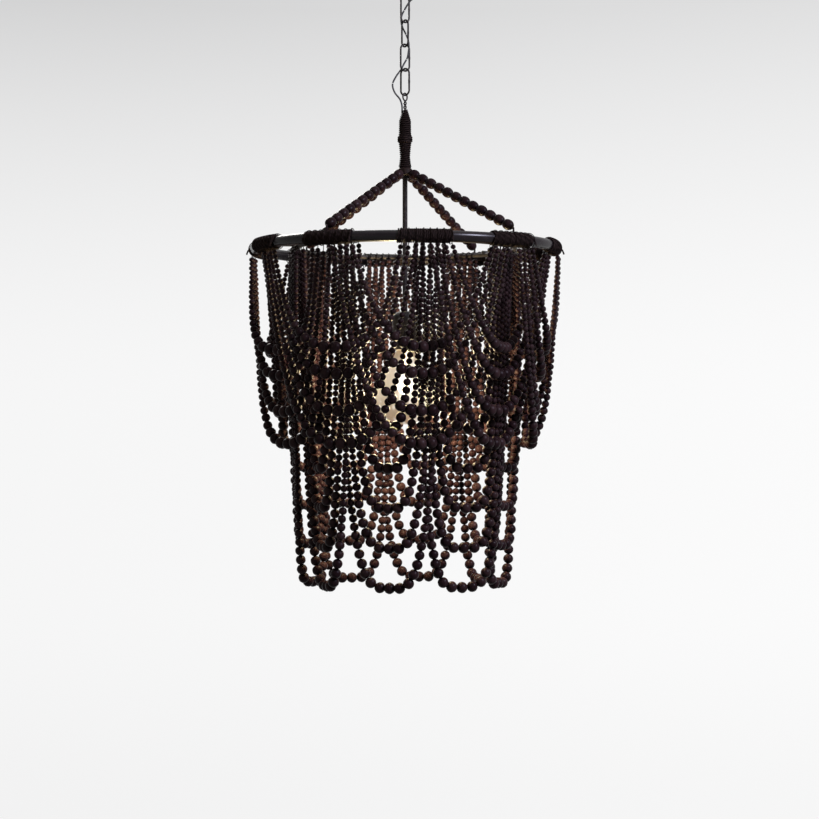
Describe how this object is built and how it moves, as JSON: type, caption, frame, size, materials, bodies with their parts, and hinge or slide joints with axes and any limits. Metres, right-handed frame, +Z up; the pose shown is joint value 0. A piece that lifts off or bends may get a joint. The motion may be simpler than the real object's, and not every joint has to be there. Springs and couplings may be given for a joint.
{
  "type": "beaded chandelier",
  "caption": "Two-tier hanging lamp: swags of graduated dark wooden beads under a cord-wrapped hoop, beaded arms, a short black chain and one globe bulb.",
  "frame": {"origin": "centre of the crossbar's upper face, on the ceiling, on the line that the lamp hangs on", "axes": "+Z up into the ceiling, -Y towards the viewer, +X to the viewer's right"},
  "size_m": [0.4704, 0.4706, 0.9476],
  "materials": {
    "zinc_steel": "satin",
    "black_iron": "satin",
    "black_plastic": "satin",
    "black_flex": "matt woven sleeve",
    "turned_wood": "satin",
    "cord": "matt twisted cord",
    "beads": "satin stained",
    "gloss_tube": "gloss lacquer",
    "nickel": "satin",
    "frosted_glass": "frosted"
  },
  "bodies": {
    "ceiling_fitting": {"crossbar": "zinc_steel", "canopy_stud": "zinc_steel", "terminal_block": "black_plastic", "canopy_loop": "black_iron", "supply_flex": "black_flex"},
    "canopy": {"canopy": "black_iron", "flex_bush": "black_plastic", "collar_nut": "black_iron"},
    "link_1": {"chain_link_1": "black_iron"},
    "link_2": {"chain_link_2": "black_iron"},
    "link_3": {"chain_link_3": "black_iron"},
    "link_4": {"chain_link_4": "black_iron"},
    "lamp": {"stem_hook": "black_iron", "stem_core": "turned_wood", "stem_wrap": "cord", "hub": "turned_wood", "hub_nut": "black_iron", "arm_front_left": "beads", "arm_front_right": "beads", "arm_rear_right": "beads", "arm_rear_left": "beads", "hoop": "gloss_tube", "hoop_wrap_1": "cord", "hoop_wrap_2": "cord", "hoop_wrap_3": "cord", "hoop_wrap_4": "cord", "hoop_wrap_5": "cord", "hoop_wrap_6": "cord", "hoop_wrap_7": "cord", "hoop_wrap_8": "cord", "hoop_wrap_9": "cord", "hoop_wrap_10": "cord", "inner_ring": "black_iron", "upper_swags_1": "beads", "upper_swags_2": "beads", "upper_swags_3": "beads", "upper_swags_4": "beads", "upper_swags_5": "beads", "upper_swags_6": "beads", "upper_swags_7": "beads", "upper_swags_8": "beads", "upper_swags_9": "beads", "upper_swags_10": "beads", "lower_swags_1": "beads", "lower_swags_2": "beads", "lower_swags_3": "beads", "lower_swags_4": "beads", "lower_swags_5": "beads", "lower_swags_6": "beads", "lower_swags_7": "beads", "lower_swags_8": "beads", "down_tube": "black_iron", "lampholder_cap": "black_plastic", "lampholder_skirt": "black_plastic", "lampholder_insert": "black_plastic"},
    "bulb": {"bulb_cap": "nickel", "bulb_glass": "frosted_glass"}
  },
  "joints": [
    {"name": "link_1_swing", "type": "hinge", "parent": "ceiling_fitting", "child": "link_1", "pos_m": [0, 0, -0.0615], "axis": [0.6018, -0.7986, 0], "range_deg": [-12, 12], "deforming": ["supply_flex"]},
    {"name": "link_2_swing", "type": "hinge", "parent": "link_1", "child": "link_2", "pos_m": [0, 0, -0.0982], "axis": [0.7986, 0.6018, 0], "range_deg": [-12, 12], "deforming": ["supply_flex"]},
    {"name": "link_3_swing", "type": "hinge", "parent": "link_2", "child": "link_3", "pos_m": [0, 0, -0.1348], "axis": [0.6157, -0.788, 0], "range_deg": [-12, 12], "deforming": ["supply_flex"]},
    {"name": "link_4_swing", "type": "hinge", "parent": "link_3", "child": "link_4", "pos_m": [0, 0, -0.1714], "axis": [0.848, 0.5299, 0], "range_deg": [-12, 12], "deforming": ["supply_flex"]},
    {"name": "stem_swing", "type": "hinge", "parent": "link_4", "child": "lamp", "pos_m": [0, 0, -0.208], "axis": [0.8192, -0.5736, 0], "range_deg": [-12, 12], "deforming": ["supply_flex"]},
    {"name": "canopy_drop", "type": "slide", "parent": "ceiling_fitting", "child": "canopy", "axis": [0, 0, -1], "range_m": [0, 0.015]},
    {"name": "bulb_out", "type": "slide", "parent": "lamp", "child": "bulb", "axis": [0, 0, -1], "range_m": [0, 0.12]}
  ]
}
